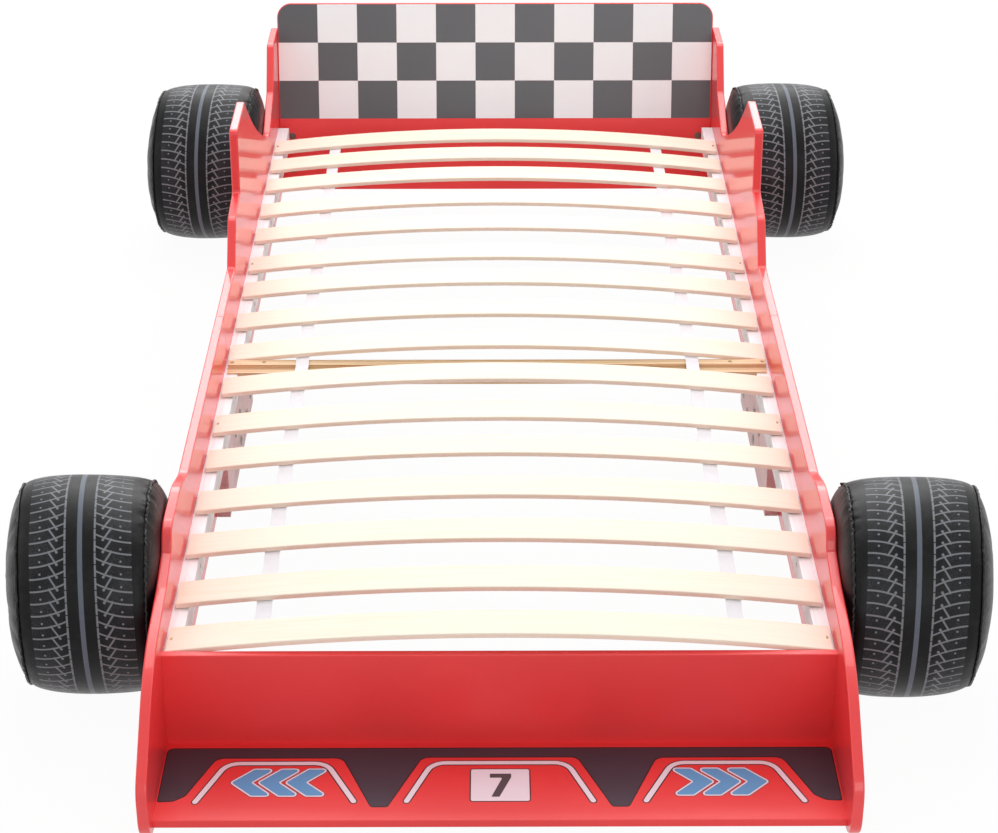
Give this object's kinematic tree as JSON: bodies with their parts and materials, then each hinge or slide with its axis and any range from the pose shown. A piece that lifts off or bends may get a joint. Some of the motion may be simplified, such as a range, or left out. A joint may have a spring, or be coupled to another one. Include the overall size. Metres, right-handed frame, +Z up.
{
  "type": "racing-car bed for children",
  "caption": "Child's slatted bed shaped as a racing car: outline-cut side panels, low nose shelf, leaning spoiler headboard, bowed slats on rails and stuffed wheels.",
  "frame": {"origin": "on the floor, under the middle of the bed's length and width", "axes": "+X to the right of someone who stands at the nose and looks along the bed, +Y from the nose shelf to the headboard, +Z up"},
  "size_m": [1.4086, 2.312, 0.448],
  "materials": {
    "red_lacquer": "satin lacquer on board",
    "white_rail": "white primed",
    "plate_board": "thin paint",
    "birch_slat": "clear satin",
    "pine": "planed",
    "plywood": "sanded",
    "webbing": "woven",
    "tread_print": "printed semi-gloss",
    "black_leatherette": "semi-gloss",
    "foam": "matte",
    "zinc_steel": "zinc plated"
  },
  "bodies": {
    "root": {"beam_front": "pine", "beam_rear": "pine", "cam_bolts": "zinc_steel", "cams": "zinc_steel", "footboard": "red_lacquer", "headboard": "red_lacquer", "joint_plate_left": "plate_board", "joint_plate_right": "plate_board", "nose_shelf": "red_lacquer", "plate_bolts": "zinc_steel", "rail_front_left": "white_rail", "rail_front_right": "white_rail", "rail_rear_left": "white_rail", "rail_rear_right": "white_rail", "rail_screws": "zinc_steel", "side_front_left": "red_lacquer", "side_front_right": "red_lacquer", "side_rear_left": "red_lacquer", "side_rear_right": "red_lacquer", "slat_01": "birch_slat", "slat_02": "birch_slat", "slat_03": "birch_slat", "slat_04": "birch_slat", "slat_05": "birch_slat", "slat_06": "birch_slat", "slat_07": "birch_slat", "slat_08": "birch_slat", "slat_09": "birch_slat", "slat_10": "birch_slat", "slat_11": "birch_slat", "slat_12": "birch_slat", "slat_13": "birch_slat", "slat_14": "birch_slat", "slat_15": "birch_slat", "slat_16": "birch_slat", "strap_left": "webbing", "strap_right": "webbing", "wheel_bolts": "zinc_steel", "wheel_front_disc_left": "plywood", "wheel_front_disc_right": "plywood", "wheel_front_foam_left": "foam", "wheel_front_foam_right": "foam", "wheel_front_inner_cover_left": "black_leatherette", "wheel_front_inner_cover_right": "black_leatherette", "wheel_front_outer_cover_left": "black_leatherette", "wheel_front_outer_cover_right": "black_leatherette", "wheel_front_tread_left": "tread_print", "wheel_front_tread_right": "tread_print", "wheel_rear_disc_left": "plywood", "wheel_rear_disc_right": "plywood", "wheel_rear_foam_left": "foam", "wheel_rear_foam_right": "foam", "wheel_rear_inner_cover_left": "black_leatherette", "wheel_rear_inner_cover_right": "black_leatherette", "wheel_rear_outer_cover_left": "black_leatherette", "wheel_rear_outer_cover_right": "black_leatherette", "wheel_rear_tread_left": "tread_print", "wheel_rear_tread_right": "tread_print", "wood_screws": "zinc_steel"}
  },
  "joints": []
}
